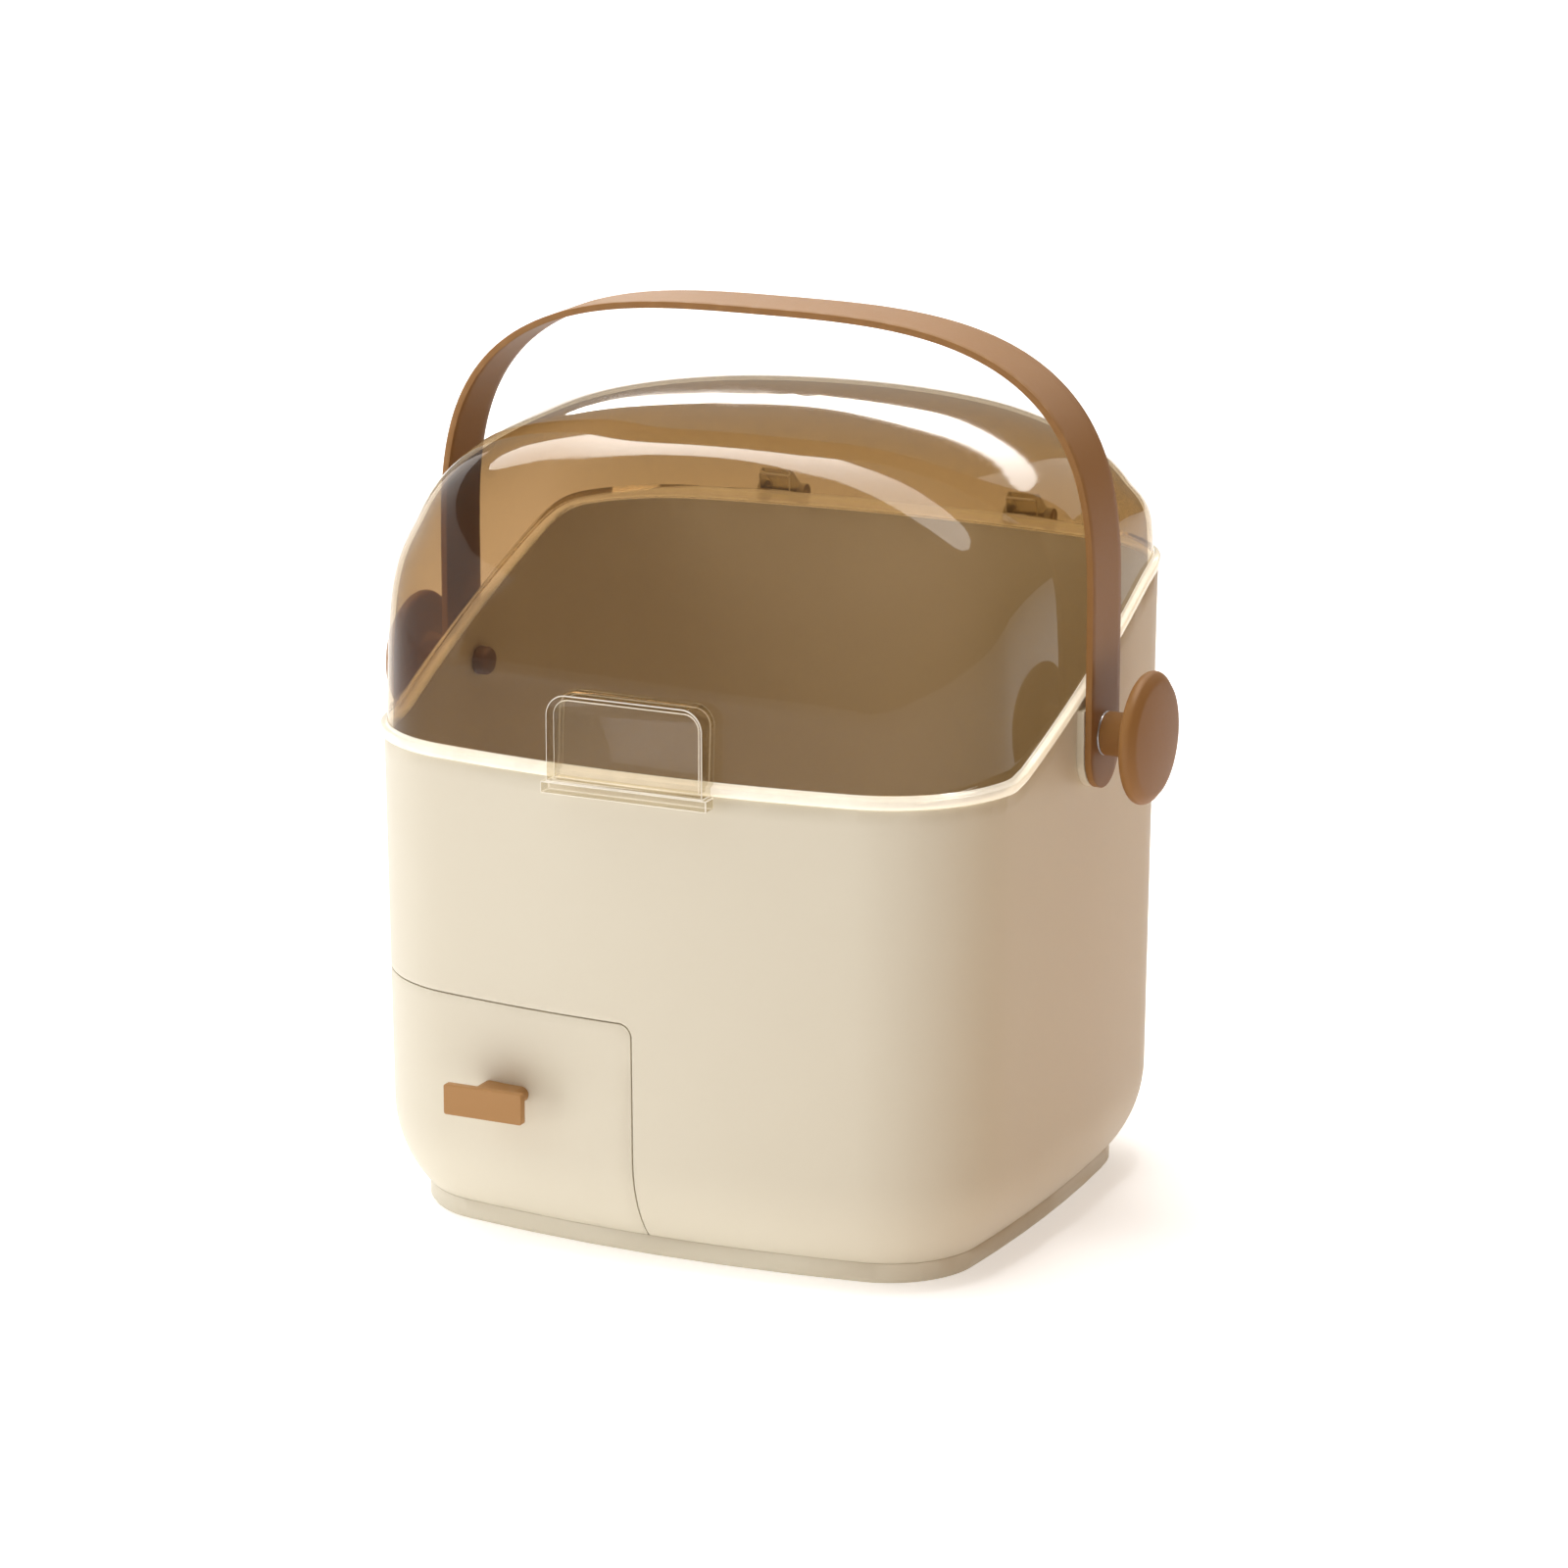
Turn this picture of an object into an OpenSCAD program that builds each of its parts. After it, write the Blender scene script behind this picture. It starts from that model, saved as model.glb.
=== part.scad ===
// Dustproof vanity case: a bowed, tapered box with a clear domed lid on rear
// hinges, a swinging strap handle held by two disc knobs, and one small drawer
// that wraps the lower left corner.
// X runs left to right, the front faces -Y, +Z is up, the origin is the middle
// of the base on the table. All sizes are in millimetres.

/* [Body] */
// Width of the body over its sides at the front rim
body_w = 256; // [200:1:320]
// Depth of the body over its bowed front and back at the front rim
body_d = 230.6; // [180:0.2:300]
// Height of the front rim above the table
front_h = 181; // [140:1:230]
// Height of the back wall above the table
back_h = 235; // [190:1:290]
// Radius of the four upright corners
corner_r = 50.4; // [30:0.2:60]
// How far the front and the back bow outwards
front_bow = 6.1; // [2:0.1:12]
// How far the sides bow outwards
side_bow = 2.5; // [1:0.1:8]
// Thickness of the moulded wall
wall = 2.8; // [2:0.1:4]
// How far the wall leans in over 100 mm of height
lean = 1.06; // [0:0.02:2]
// Height of the rounded bottom edge
belly_h = 33; // [15:1:45]
// How far the rounded bottom edge turns in
belly_in = 12.5; // [6:0.5:20]
// Distance behind the front where the side edge starts to rise
slope_front = 54.3; // [30:0.1:80]
// Distance before the back where the side edge ends its rise
slope_back = 49.3; // [25:0.1:80]

/* [Base] */
// Height of the plinth under the body
plinth_h = 8; // [5:0.5:15]
// Thickness of the plinth's wall
plinth_wall = 4; // [2.5:0.5:8]
// Thickness of the body's floor
floor_t = 2.6; // [2:0.1:4]

/* [Drawer] */
// Height of the seam over the drawer
drawer_top = 92; // [70:1:120]
// X of the upright seam beside the drawer
drawer_right = -2; // [-30:1:20]
// How far the drawer's front reaches back round the left corner
drawer_wrap = 58.3; // [40:0.1:75]
// Width of the seam round the drawer's front
seam = 0.6; // [0.4:0.1:1.5]
// How far the drawer pulls out
drawer_travel = 150; // [60:5:160]
// Width of the pull's plate
pull_w = 32; // [20:1:60]
// Height of the pull's plate
pull_h = 11.6; // [8:0.2:20]
// Distance from the upright seam to the pull's middle
pull_side = 53; // [25:1:80]
// Height of the pull's middle
pull_z = 59; // [30:1:80]

/* [Lid] */
// Height of the dome over the back wall
dome_rise = 65; // [40:1:100]
// Thickness of the clear shell
lid_t = 2.2; // [1.6:0.1:3]
// Gap between the lid's flange and the body's rim
lid_gap = 0.4; // [0.3:0.1:1]
// How far the flange stands out past the body's wall
flange_out = 1.4; // [0.5:0.1:3]
// Width of the clear grip on the lid's front
grip_w = 62; // [40:1:90]
// Height of the clear grip
grip_h = 33; // [20:1:50]
// How far each hinge sits from the middle
hinge_x = 52.5; // [35:0.5:80]

/* [Handle] */
// Height of the handle's top over the dome
handle_gap = 37; // [30:1:80]
// Width of the strap
strap_w = 26.6; // [18:0.2:40]
// Thickness of the strap
strap_t = 2.4; // [2:0.1:4]
// Gap from the body's side to the strap's inner face
strap_gap = 3; // [2:0.1:8]
// Y of the handle's pivot
pivot_y = 1; // [-20:1:20]
// Height of the sloping rim over the handle's pivot
pivot_drop = 18.4; // [14:0.2:40]
// Diameter of the disc knobs
knob_d = 49; // [30:1:60]
// Distance from the strap's inner face to the knob's outer face
knob_reach = 24; // [15:0.5:35]

/* [Hidden] */
$fn = 48;

cream = [0.87, 0.83, 0.74];
brown = [0.66, 0.47, 0.34];
amber = [0.72, 0.58, 0.42, 0.45];
clear = [0.9, 0.87, 0.8, 0.45];
steel = [0.7, 0.7, 0.7];

// Places that follow from the sizes above
slope_y0 = -body_d / 2 + slope_front;
slope_y1 = body_d / 2 - slope_back;
wrap_y = -body_d / 2 + drawer_wrap;
pull_x = drawer_right - pull_side;
dome_h = back_h + dome_rise;
handle_h = dome_h + handle_gap;
strap_x = body_w / 2 + strap_gap;
knob_x = strap_x + knob_reach;

// Plan outline: four corner arcs joined by four long tangent arcs
cx = body_w / 2 - corner_r - side_bow;
cy = body_d / 2 - corner_r - front_bow;
front_r = (cx * cx + front_bow * front_bow) / (2 * front_bow);
side_r = (cy * cy + side_bow * side_bow) / (2 * side_bow);
front_a = asin(cx / front_r);
side_a = asin(cy / side_r);
front_c = body_d / 2 - corner_r - front_r;
side_c = body_w / 2 - corner_r - side_r;

// Outward offset of the wall's outer face from the rim outline, by height
belly_top = plinth_h + belly_h;
belly_r = (belly_h * belly_h + belly_in * belly_in) / (2 * belly_in);
function bow_y(x) = body_d / 2 - x * x / (2 * (front_r + corner_r));
function lean_at(z) = (z - front_h) * lean / 100;
function belly_at(z) = z >= belly_top ? 0 :
  sqrt(belly_r * belly_r - pow(belly_top - z, 2)) - belly_r;
function out_at(z) = lean_at(z) + belly_at(z);
foot_s = out_at(plinth_h);

// Height of the body's rim at a given Y
rim_m = (back_h - front_h) / (slope_y1 - slope_y0);
rim_f = 6;
rim_b = 14;
function rim_z(y) =
  y < slope_y0 - rim_f ? front_h :
  y < slope_y0 + rim_f ? front_h + rim_m * pow(y - slope_y0 + rim_f, 2) / (4 * rim_f) :
  y < slope_y1 - rim_b ? front_h + rim_m * (y - slope_y0) :
  y < slope_y1 + rim_b ? back_h - rim_m * pow(slope_y1 + rim_b - y, 2) / (4 * rim_b) :
  back_h;

pivot_z = rim_z(pivot_y) - pivot_drop;

// Points of the plan outline at outward offset s, anticlockwise from the right
function arc_pts(c, r, a0, a1, n) =
  [for (i = [0 : n - 1]) let (a = a0 + (a1 - a0) * i / n) [c[0] + r * cos(a), c[1] + r * sin(a), a]];
function plan(s, nc = 12, ns = 6) = concat(
  arc_pts([side_c, 0], side_r + corner_r + s, -side_a, side_a, ns),
  arc_pts([cx, cy], corner_r + s, side_a, 90 - front_a, nc),
  arc_pts([0, front_c], front_r + corner_r + s, 90 - front_a, 90 + front_a, ns),
  arc_pts([-cx, cy], corner_r + s, 90 + front_a, 180 - side_a, nc),
  arc_pts([-side_c, 0], side_r + corner_r + s, 180 - side_a, 180 + side_a, ns),
  arc_pts([-cx, -cy], corner_r + s, 180 + side_a, 270 - front_a, nc),
  arc_pts([0, -front_c], front_r + corner_r + s, 270 - front_a, 270 + front_a, ns),
  arc_pts([cx, -cy], corner_r + s, 270 + front_a, 360 - side_a, nc));
module plan_2d(s, nc = 12, ns = 6) {
  polygon([for (p = plan(s, nc, ns)) [p[0], p[1]]]);
}

// Closes a stack of rings of n points into one solid that is open in the middle
function ring_faces(m, n) = [for (j = [0 : m - 1], i = [0 : n - 1])
  let (k = (i + 1) % n, q = (j + 1) % m) each
  [[j * n + i, q * n + k, j * n + k], [j * n + i, q * n + i, q * n + k]]];

// Moulded wall from the foot up to the rim, or up to a level top
belly_n = 6;
function slope_at(z) = (out_at(z + 0.4) - out_at(z - 0.4)) / 0.8;
function in_s(z) = out_at(z) - wall / sqrt(1 + pow(slope_at(z), 2));
function in_z(z) = z + wall * slope_at(z) / sqrt(1 + pow(slope_at(z), 2));
function level_ring(s, z) = [for (p = plan(s)) [p[0], p[1], z]];
function rim_ring(t) = [for (p = plan(lean_at(front_h) - t))
  let (z = rim_z(p[1]), q = lean_at(z) * [cos(p[2]), sin(p[2])]) [p[0] + q[0], p[1] + q[1], z]];
module wall_shell(level = 0) {
  zs = [for (i = [0 : belly_n]) plinth_h + belly_h * i / belly_n];
  outer = [for (z = zs) level_ring(out_at(z), z)];
  inner = [for (i = [belly_n : -1 : 1]) level_ring(in_s(zs[i]), in_z(zs[i]))];
  top = level > 0
    ? [level_ring(lean_at(level), level), level_ring(lean_at(level) - wall, level)]
    : [rim_ring(0), rim_ring(wall)];
  rings = concat(outer, top, inner, [level_ring(foot_s - wall - 1.6, plinth_h)]);
  polyhedron([for (r = rings) each r], ring_faces(len(rings), len(rings[0])), convexity = 6);
}

// The space inside the wall, up to a level top, grown outwards by g
module inside(g, top) {
  zs = concat([for (i = [1 : belly_n]) plinth_h + belly_h * i / belly_n], [top]);
  rings = concat([level_ring(foot_s - wall - 1.6 + g, plinth_h + floor_t)],
    [for (z = zs) level_ring(in_s(z) + g, in_z(z))]);
  n = len(rings[0]);
  m = len(rings);
  polyhedron([for (r = rings) each r], concat(
    [for (j = [0 : m - 2], i = [0 : n - 1]) let (k = (i + 1) % n) each
      [[j * n + i, (j + 1) * n + k, j * n + k], [j * n + i, (j + 1) * n + i, (j + 1) * n + k]]],
    [[for (i = [0 : n - 1]) i]], [[for (i = [n - 1 : -1 : 0]) (m - 1) * n + i]]), convexity = 4);
}

// Drawer window: rounded at its upper right, drawn larger by g
module window(g) {
  x1 = drawer_right + g;
  z1 = drawer_top + g;
  r = 5 + g;
  rotate([90, 0, 0])
    translate([0, 0, -wrap_y - g])
      linear_extrude(body_d)
        union() {
          translate([-body_w, -20]) square([body_w + x1 - r, 20 + z1]);
          translate([x1 - r - 1, -20]) square([r + 1, 20 + z1 - r]);
          translate([x1 - r, z1 - r]) circle(r = r);
        }
}

// Mirrors a child for the right and left sides
module both() {
  children();
  mirror([1, 0, 0]) children();
}

hinge_y = body_d / 2 + 4.3;
hinge_z = back_h + 3.5;
hinge_r = 3.8;
hinge_pin_r = 1.5;
lug_t = 3;
lug_gap = 17;
lug_y = bow_y(hinge_x + (lug_gap + lug_t) / 2) - 1;
knuckle_w = lug_gap - lug_t - 0.8;

// One upright ear of a hinge on the back wall, around X = 0
module hinge_ear() {
  rotate([90, 0, 90])
    translate([0, 0, -lug_t / 2])
      linear_extrude(lug_t)
        difference() {
          union() {
            translate([hinge_y, hinge_z]) circle(r = hinge_r);
            polygon([[lug_y, hinge_z - 18], [lug_y, back_h - 0.6],
              [hinge_y - hinge_r, back_h - 0.4], [hinge_y - hinge_r, hinge_z],
              [hinge_y + hinge_r, hinge_z], [hinge_y + hinge_r - 1, hinge_z - 4]]);
          }
          translate([hinge_y, hinge_z]) circle(r = hinge_pin_r);
        }
}

// Outline of the drawer's tray inside the body
tray_l = -body_w / 2 + 20;
tray_r = drawer_right - 2;
tray_b = body_d / 2 - 20.8;
tray_f = -tray_b;
tray_x = (tray_l + tray_r) / 2;
tray_top = drawer_top - 5;
shelf_z = drawer_top + 2;
shelf_t = 2.6;
divider_x = drawer_right + 2.4;
divider_t = 2.4;
pivot_r = 3.5;
pad_x = body_w / 2 - 0.1;

// Places of the base screws
screw_x = cx + 5;
screw_y = cy + 7;
module at_screws(z) {
  for (x = [-screw_x, screw_x], y = [-screw_y, screw_y]) translate([x, y, z]) children();
}

module outer_body() {
  color(cream)
  difference() {
    union() {
      difference() {
        wall_shell();
        window(seam / 2);
      }
      // floor, held back from the drawer's front
      translate([0, 0, plinth_h]) linear_extrude(floor_t) plan_2d(foot_s - wall - 0.2);
      // ledge that carries the shelf's left edge
      intersection() {
        inside(0.8, shelf_z + 20);
        translate([-body_w / 2, 19 - cy, shelf_z - 4]) cube([8, 2 * cy - 18, 4]);
      }
      for (m = [-1, 1], e = [-1, 1])
        translate([m * hinge_x + e * lug_gap / 2, 0, 0]) hinge_ear();
    }
    // pockets under the strap's spacers
    both() translate([pad_x, 0, 0]) rotate([90, 0, 90]) linear_extrude(10) pad_2d(0.1);
    // pivot holes
    translate([-body_w, pivot_y, pivot_z]) rotate([0, 90, 0]) cylinder(r = pivot_r, h = 2 * body_w);
    // holes for the base screws
    at_screws(plinth_h - 1) cylinder(r = 2, h = floor_t + 3);
  }
}

module base_plinth() {
  color(cream)
  difference() {
    union() {
      translate([0, 0, 1.6]) linear_extrude(plinth_h - 1.6) plan_2d(foot_s);
      linear_extrude(1.6) plan_2d(foot_s - 1.2);
    }
    translate([0, 0, 2.6]) linear_extrude(plinth_h) difference() {
      plan_2d(foot_s - plinth_wall);
      at_screws(0) circle(r = 7);
      translate([-2, -body_d / 2]) square([4, body_d]);
      translate([-body_w / 2, -2]) square([body_w, 4]);
    }
    at_screws(-1) cylinder(r = 2, h = plinth_h + 2);
    at_screws(-1) cylinder(r = 4.2, h = 1 + 3);
  }
}

module base_screws() {
  color(steel)
  at_screws(0) {
    translate([0, 0, 0.8]) cylinder(r = 3.8, h = 2.2);
    translate([0, 0, 3]) cylinder(r = 1.98, h = plinth_h + floor_t - 3);
  }
}

// High floor over the drawer's bay, with the wall that parts it from the well
module inner_shelf() {
  z0 = plinth_h + floor_t;
  color(cream)
  union() {
    translate([0, 0, shelf_z]) linear_extrude(shelf_t) intersection() {
      plan_2d(lean_at(shelf_z) - wall - 0.25);
      translate([-body_w, -body_d]) square([body_w + divider_x + divider_t, 2 * body_d]);
    }
    intersection() {
      inside(-0.25, shelf_z + 5);
      translate([divider_x, -body_d / 2, z0 - 5]) cube([divider_t, body_d, shelf_z + 1 - z0 + 5]);
    }
    // stop that catches the tray's rear tab
    translate([tray_x - 20, tray_b - tray_t - drawer_travel - 3.3, shelf_z - 3.4]) cube([40, 3, 4]);
    // guide rib that keeps the tray from tipping
    translate([tray_r - 16, tray_f + 10.5, shelf_z - 4]) cube([3, tray_b - tray_f - 10.5, 4.5]);
  }
}

runner_h = 2.2;
runner_w = 8;
tray_z = plinth_h + floor_t + runner_h + 0.2;
tray_t = 2;
module runner(x) {
  color(cream) translate([x, tray_f + 12.5, plinth_h + floor_t]) cube([runner_w, tray_b - tray_f - 25, runner_h]);
}
module runner_left() { runner(tray_l + 14); }
module runner_right() { runner(tray_r - 20); }

// Tray outline inset by g, with large corners on its left
module tray_2d(g) {
  r = corner_r - 17.4;
  difference() {
    translate([tray_l + g, tray_f + g]) square([tray_r - tray_l - 2 * g, tray_b - tray_f - 2 * g]);
    for (m = [1, -1]) scale([1, m]) difference() {
      translate([tray_l - 1, tray_f - 1]) square([r + 1, r + 1]);
      translate([tray_l + r, tray_f + r]) circle(r = r - g, $fn = 96);
    }
  }
}
// Places of the pull's two screws, d behind the drawer's face
face_y = -(bow_y(pull_x) + out_at(pull_z));
seat_t = 1.3;
module at_pull(d) {
  for (dx = [-6, 6]) translate([pull_x + dx, face_y + d, pull_z]) rotate([-90, 0, 0]) children();
}
boss_x = [tray_l + 40, tray_r - 14];
boss_z = [drawer_top - 58, drawer_top - 18];
module drawer_tray() {
  color(cream)
  difference() {
    union() {
      difference() {
        translate([0, 0, tray_z]) linear_extrude(tray_top - tray_z) tray_2d(0);
        translate([0, 0, tray_z + tray_t]) linear_extrude(tray_top) tray_2d(tray_t);
      }
      // tab behind the stop
      translate([tray_x - 18, tray_b - tray_t, tray_top - 6]) cube([36, tray_t, shelf_z - 1 - tray_top + 6]);
    }
    for (x = boss_x, z = boss_z) translate([x, tray_f - 1, z]) rotate([-90, 0, 0]) cylinder(r = 1.6, h = 6);
  }
}

module drawer_front() {
  color(cream)
  difference() {
    union() {
      intersection() {
        wall_shell(drawer_top + 20);
        window(-seam / 2);
      }
      // flat seats for the heads of the pull's screws
      at_pull(1.6) cylinder(r = 3.6, h = wall + seat_t - 1.6);
      // blocks that meet the tray's front
      intersection() {
        inside(0.8, drawer_top);
        for (x = boss_x, z = boss_z) translate([x - 5, tray_f - 30, z - 5]) cube([10, 30, 10]);
      }
    }
    translate([0, 0, plinth_h - 2]) linear_extrude(floor_t + 2.6) plan_2d(foot_s - wall + 0.4);
    for (x = boss_x, z = boss_z) translate([x, tray_f + 1, z]) rotate([90, 0, 0]) cylinder(r = 1.5, h = 9);
    at_pull(-9) cylinder(r = 1.6, h = 20);
  }
}

module tray_screws() {
  color(steel)
  for (x = boss_x, z = boss_z) translate([x, tray_f, z]) {
    translate([0, tray_t, 0]) rotate([-90, 0, 0]) cylinder(r = 3, h = 1.6);
    translate([0, -7, 0]) rotate([-90, 0, 0]) cylinder(r = 1.5, h = 7 + tray_t);
  }
}

pull_out = 17;
module drawer_pull() {
  color(brown)
  difference() {
    union() {
      // plate, eased at its corners
      translate([pull_x, face_y - pull_out, pull_z]) rotate([90, 0, 0]) translate([0, 0, -1.6])
        linear_extrude(3.2) offset(r = 1) square([pull_w - 2, pull_h - 2], center = true);
      // stem with rounded ends in section
      difference() {
        translate([pull_x, face_y - pull_out, pull_z]) rotate([-90, 0, 0]) linear_extrude(pull_out + 3) union() {
          square([14, 5.6], center = true);
          for (s = [-1, 1]) translate([s * 7, 0]) circle(r = 2.8);
        }
        translate([0, 0, pull_z - 5]) linear_extrude(10) plan_2d(out_at(pull_z) + 0.06);
      }
    }
    at_pull(-9) cylinder(r = 1.2, h = 14);
  }
}
module pull_screws() {
  color(steel) {
    at_pull(-8) cylinder(r = 1.18, h = 8 + wall + seat_t + 0.6);
    at_pull(wall + seat_t + 0.05) cylinder(r = 2.8, h = 1.6);
  }
}

// Dome: rings that shrink towards the middle line while they rise
dome_n = 11;
dome_yc = body_d / 12;
function dome_pow(a) = let (s = sin(a)) 5.1 + (s < 0 ? -1.9 : 1.9) * s * s;
function dome_top(x, y, h) = let (a = abs(x) / (body_w * 0.39)) h - 6.6 * a * a
  - pow(max(y - dome_yc, 0) / (body_d / 2 - dome_yc), 2) * (12.6 + 20.3 * pow(a, 3.34));
function dome_pt(p, u, h) =
  let (n = dome_pow(p[2]), zr = rim_z(p[1]) + lid_gap,
    s = u >= 90 ? 1 : u <= 0 ? 0 : pow(sin(u), 2 / n),
    c = (u >= 90 ? 0 : u <= 0 ? 1 : pow(cos(u), 2 / n)) * (1 - 0.15 * (h - zr) * s / 1000),
    x = p[0] * c, y = dome_yc + (p[1] - dome_yc) * c)
  [x, y, zr + max(dome_top(x, y, h) - zr, 1) * s];
flange_h = 3.6;
lid_in = 1.1;
function flat_ring(s, dz) = [for (p = plan(s, 10, 8)) [p[0], p[1], rim_z(p[1]) + lid_gap + dz]];
function dome_ring(s, u, h) = [for (p = plan(s, 10, 8)) dome_pt(p, u, h)];
module lid_shell() {
  us = [for (i = [1 : dome_n - 1]) 90 * i / dome_n];
  hi = dome_h - lid_t;
  n = 72;
  rings = concat(
    [for (i = [len(us) - 1 : -1 : 0]) dome_ring(-lid_in - lid_t, us[i], hi)],
    [flat_ring(-lid_in - lid_t, 0), flat_ring(flange_out, 0), flat_ring(flange_out, flange_h),
      flat_ring(-lid_in, flange_h + 0.8)],
    [for (u = us) dome_ring(-lid_in, u, dome_h)]);
  m = len(rings);
  pts = concat([for (r = rings) each r], [[0, dome_yc, hi], [0, dome_yc, dome_h]]);
  color(amber)
  polyhedron(pts, concat(
    [for (j = [0 : m - 2], i = [0 : n - 1]) let (k = (i + 1) % n) each
      [[j * n + i, (j + 1) * n + k, j * n + k], [j * n + i, (j + 1) * n + i, (j + 1) * n + k]]],
    [for (i = [0 : n - 1]) [m * n, i, (i + 1) % n]],
    [for (i = [0 : n - 1]) [m * n + 1, (m - 1) * n + (i + 1) % n, (m - 1) * n + i]]), convexity = 4);
}

// Clear box grip on the lid's front: a rounded box open at its back, on a lip
grip_out = 6;
grip_t = 2;
grip_z = front_h + lid_gap - 0.4;
grip_y = -(body_d / 2 + flange_out);
module grip_2d(g) {
  r = 8 - g;
  translate([-grip_w / 2 + g, grip_z + g]) union() {
    square([grip_w - 2 * g, grip_h - 2 * g - r]);
    translate([r, 0]) square([grip_w - 2 * g - 2 * r, grip_h - 2 * g]);
    for (x = [r, grip_w - 2 * g - r]) translate([x, grip_h - 2 * g - r]) circle(r = r);
  }
}
module lid_grip() {
  color(clear)
  intersection() {
    union() {
      difference() {
        translate([0, grip_y + 8, 0]) rotate([90, 0, 0]) linear_extrude(grip_out + 8) grip_2d(0);
        translate([0, grip_y + 9, 0]) rotate([90, 0, 0]) linear_extrude(grip_out + 9 - grip_t) grip_2d(grip_t);
      }
      translate([-grip_w / 2 - 2, grip_y - grip_out - 0.8, grip_z - 3.6]) cube([grip_w + 4, grip_out + 0.4, 4.4]);
    }
    rotate([90, 0, 90]) translate([0, 0, -grip_w]) linear_extrude(2 * grip_w)
      polygon([[grip_y - 20, grip_z - 9], [-body_d / 2 + lid_in + 1.2, grip_z - 9],
        [-body_d / 2 + lid_in + 1.2, grip_z + flange_h], [-body_d / 2 + lid_in + 3, grip_z + grip_h + 1],
        [grip_y - 20, grip_z + grip_h + 1]]);
  }
}

// Lid's half of each hinge: a barrel with a web up the lid's rear wall
web_y = bow_y(hinge_x) - lid_in;
module lid_knuckles() {
  color(amber)
  both() translate([hinge_x, 0, 0]) rotate([90, 0, 90])
    translate([0, 0, -knuckle_w / 2]) linear_extrude(knuckle_w) difference() {
      union() {
        translate([hinge_y, hinge_z]) circle(r = hinge_r);
        polygon([[web_y - 1, back_h + 12], [web_y - 0.4, back_h + lid_gap + flange_h + 1.4],
          [web_y + 3.4, back_h + lid_gap + flange_h + 0.4], [hinge_y, hinge_z - 0.5],
          [hinge_y + hinge_r * 0.75, hinge_z + hinge_r * 0.66], [web_y + 1.4, back_h + 14]]);
      }
      translate([hinge_y, hinge_z]) circle(r = hinge_pin_r + 0.05);
    }
}
module hinge_pin(s) {
  color(cream) translate([s * hinge_x, hinge_y, hinge_z]) rotate([0, 90, 0])
    cylinder(r = hinge_pin_r, h = lug_gap + lug_t + 1, center = true);
}
module hinge_pin_left() { hinge_pin(-1); }
module hinge_pin_right() { hinge_pin(1); }

// Arch of the handle: upright legs, then a squarish arch
arch_z = pivot_z + 41;
arch_n = 3.15;
function arch_c(t) = [(strap_x + strap_t) * pow(max(cos(t), 0), 2 / arch_n),
  arch_z + (handle_h - arch_z) * pow(max(sin(t), 0), 2 / arch_n)];
function arch_in(t) = let (a = arch_c(max(t - 0.5, 0)), b = arch_c(min(t + 0.5, 90)),
  d = norm(b - a), c = arch_c(t)) [c[0] - strap_t * (b[1] - a[1]) / d, c[1] + strap_t * (b[0] - a[0]) / d];
module strap_end_2d(w, drop) {
  r = w / 2;
  translate([pivot_y - r, pivot_z - drop + r]) square([w, arch_z - pivot_z + drop - r]);
  translate([pivot_y, pivot_z - drop + r]) circle(r = r);
}
strap_drop = 20.3;
module handle_strap() {
  ts = concat([for (i = [0 : 5]) i * 1.5], [for (i = [1 : 18]) 7.5 + i * 75 / 18], [for (i = [1 : 5]) 82.5 + i * 1.5]);
  right = [for (t = ts) arch_c(t)];
  inner = [for (t = ts) arch_in(t)];
  k = len(ts);
  color(brown)
  difference() {
    union() {
      translate([0, pivot_y + strap_w / 2, 0]) rotate([90, 0, 0]) linear_extrude(strap_w)
        polygon(concat(right, [for (i = [k - 2 : -1 : 0]) [-right[i][0], right[i][1]]],
          [for (p = inner) [-p[0], p[1]]], [for (i = [k - 2 : -1 : 0]) inner[i]]));
      for (x = [strap_x, -strap_x - strap_t]) translate([x, 0, 0])
        rotate([90, 0, 90]) linear_extrude(strap_t) strap_end_2d(strap_w, strap_drop);
    }
    translate([-body_w, pivot_y, pivot_z]) rotate([0, 90, 0]) cylinder(r = pivot_r + 0.06, h = 2 * body_w);
  }
}

// Spacer under each strap end, seated in a shallow pocket of the side wall
module pad_2d(g) {
  r = strap_w / 2 + 0.6 + g;
  top = rim_z(pivot_y - r) - lid_gap - 1.4 + g;
  translate([pivot_y, pivot_z - 6.4]) circle(r = r);
  translate([pivot_y - r, pivot_z - 6.4]) square([2 * r, top - pivot_z + 6.4]);
}
module pivot_pad_right() {
  color(cream)
  difference() {
    translate([pad_x, 0, 0]) rotate([90, 0, 90]) linear_extrude(strap_x - 0.3 - pad_x) pad_2d(0);
    translate([0, pivot_y, pivot_z]) rotate([0, 90, 0]) cylinder(r = pivot_r, h = body_w);
  }
}
module pivot_pad_left() { mirror([1, 0, 0]) pivot_pad_right(); }

// Washer between the strap and the knob's shoulder
washer_t = 0.6;
module washer_right() {
  color(steel) translate([strap_x + strap_t + 0.05, pivot_y, pivot_z]) rotate([0, 90, 0]) difference() {
    cylinder(r = 8.1, h = washer_t);
    translate([0, 0, -1]) cylinder(r = pivot_r, h = washer_t + 2);
  }
}
module washer_left() { mirror([1, 0, 0]) washer_right(); }

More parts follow.
